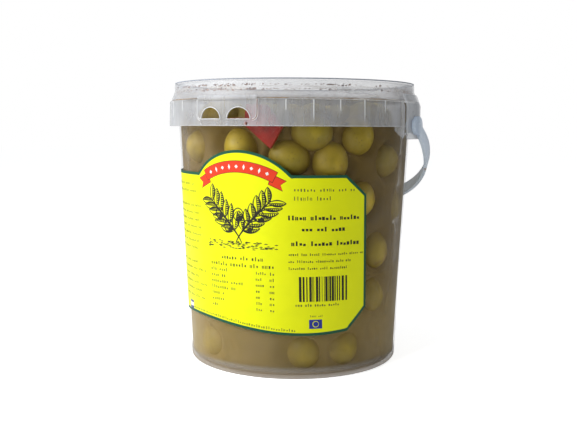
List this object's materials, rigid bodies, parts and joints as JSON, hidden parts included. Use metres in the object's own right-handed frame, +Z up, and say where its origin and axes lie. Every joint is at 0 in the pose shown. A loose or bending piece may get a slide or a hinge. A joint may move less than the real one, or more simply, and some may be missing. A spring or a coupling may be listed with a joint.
{
  "type": "pail of olives in brine",
  "caption": "Shut translucent plastic pail of green olives in cloudy brine, with a clear snap lid, a pull tab, a plain label and a swinging bail handle.",
  "frame": {"origin": "middle of the pail's foot, on the plane it stands on", "axes": "+Z up; the two ears and the bail's pivot line along X; the pull tab faces -Y; the bail hangs at +Y"},
  "size_m": [0.1704, 0.1582, 0.173],
  "materials": {
    "pail_plastic": "hazy translucent moulded polypropylene",
    "lid_plastic": "clear moulded polypropylene, slightly milky",
    "handle_plastic": "bluish white translucent polypropylene",
    "olives": "wet waxy olive skin, yellow-green to brownish",
    "red_pepper": "wet pepper flesh",
    "label_film": "printed film, satin"
  },
  "bodies": {
    "tub": {"pail": "pail_plastic", "lid": "lid_plastic", "olives": "olives", "red_pepper": "red_pepper", "label": "label_film"},
    "bail": {"handle": "handle_plastic"}
  },
  "joints": [
    {"name": "bail_swing", "type": "hinge", "parent": "tub", "child": "bail", "pos_m": [0, 0, 0.147], "axis": [1, 0, 0], "range_deg": [0, 249.5]}
  ]
}
